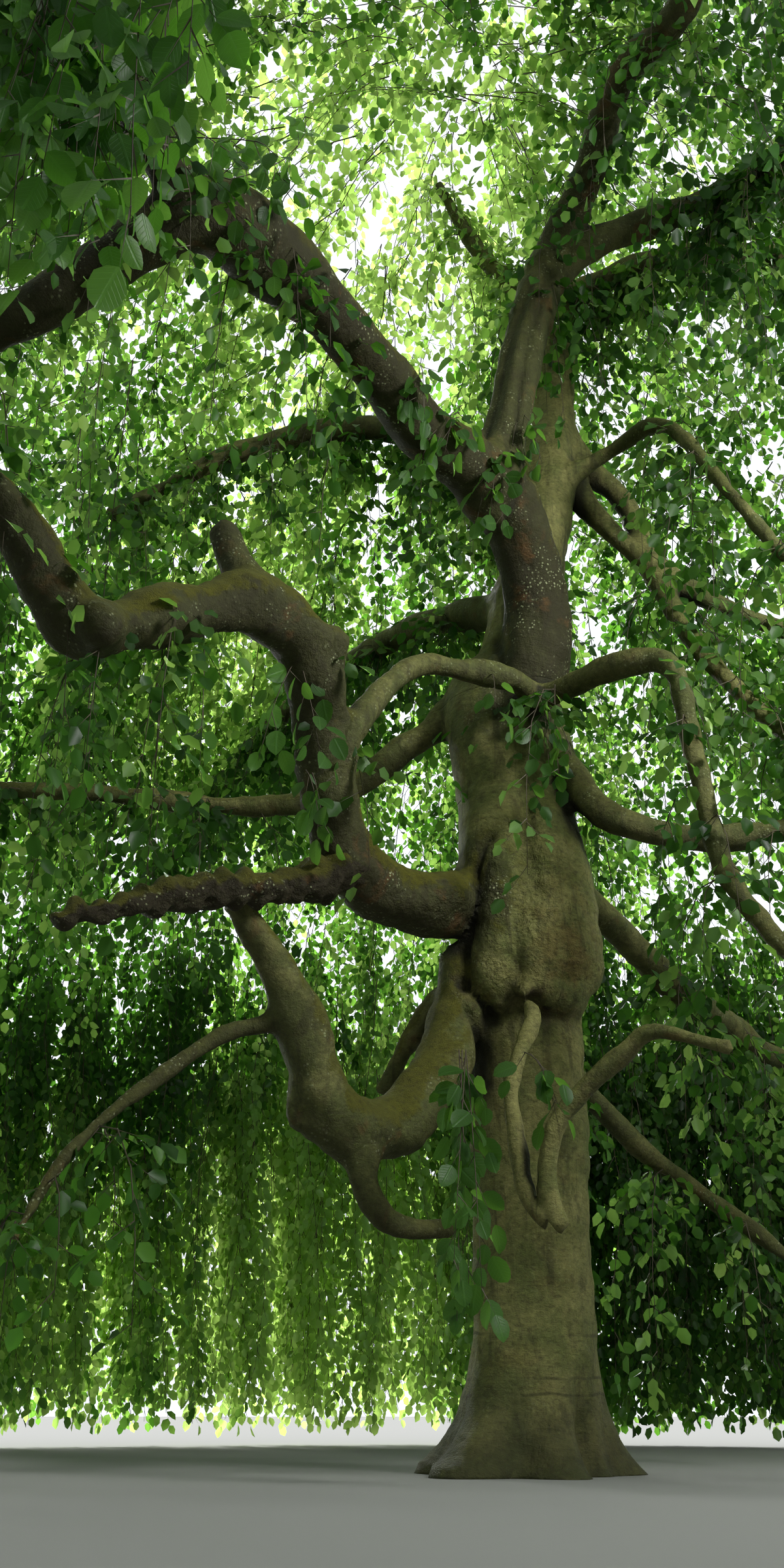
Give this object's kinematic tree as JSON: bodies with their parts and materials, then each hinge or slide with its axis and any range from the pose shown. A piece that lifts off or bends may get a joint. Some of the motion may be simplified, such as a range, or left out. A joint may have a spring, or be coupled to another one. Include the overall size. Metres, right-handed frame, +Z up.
{
  "type": "weeping beech tree",
  "caption": "Old weeping beech with a swollen collar, contorted boughs and a tent of hanging leafy shoots down to just above the ground",
  "frame": {"origin": "the middle of the flat cut under the trunk, at ground level", "axes": "+Z up along the trunk, -Y towards the side the tree is seen from in the picture, +X to the right seen from there"},
  "size_m": [17.0497, 17.7395, 12.1587],
  "materials": {
    "bark": "smooth grey-olive bark with fine ring lines, folds at the collar and some moss",
    "old_bark": "dead mossy wood",
    "leaves": "oval green leaves with a slight gloss, yellow-green against the light"
  },
  "bodies": {
    "root": {"trunk": "bark", "great_bough_root": "bark", "great_bough_reach": "bark", "great_bough_low_arm": "bark", "great_bough_high_arm": "bark", "serpentine_root": "bark", "serpentine_rise": "bark", "serpentine_reach": "bark", "cradle_sling": "bark", "cradle_rise": "bark", "cradle_side_limb": "bark", "mossy_snag": "old_bark", "left_far_bough": "bark", "bridge_limb": "bark", "cross_limb_right": "bark", "upper_left_bough": "bark", "right_middle_bough": "bark", "right_low_bough": "bark", "right_foot_limb": "bark", "right_high_limb": "bark", "right_upper_bough": "bark", "right_drooping_bough": "bark", "hanging_limb": "bark", "hooked_limb": "bark", "riser": "bark", "riser_front_arm": "bark", "riser_right_arm": "bark", "leader_right": "bark", "leader_top": "bark", "back_left_bough": "bark", "back_bough": "bark", "low_curtain_front": "leaves", "high_curtain_front": "leaves", "low_curtain_front_left": "leaves", "high_curtain_front_left": "leaves", "low_curtain_left": "leaves", "high_curtain_left": "leaves", "low_curtain_back_left_side": "leaves", "high_curtain_back_left_side": "leaves", "low_curtain_back_left": "leaves", "high_curtain_back_left": "leaves", "low_curtain_back": "leaves", "high_curtain_back": "leaves", "low_curtain_back_right": "leaves", "high_curtain_back_right": "leaves", "low_curtain_right": "leaves", "high_curtain_right": "leaves", "low_curtain_right_front_side": "leaves", "high_curtain_right_front_side": "leaves", "low_curtain_front_right": "leaves", "high_curtain_front_right": "leaves", "dome_front": "leaves", "dome_left": "leaves", "dome_back_left": "leaves", "dome_back_right": "leaves", "dome_right": "leaves", "inner_left_high": "leaves", "inner_left_low": "leaves", "inner_right_high": "leaves", "inner_right_low": "leaves"}
  },
  "joints": []
}
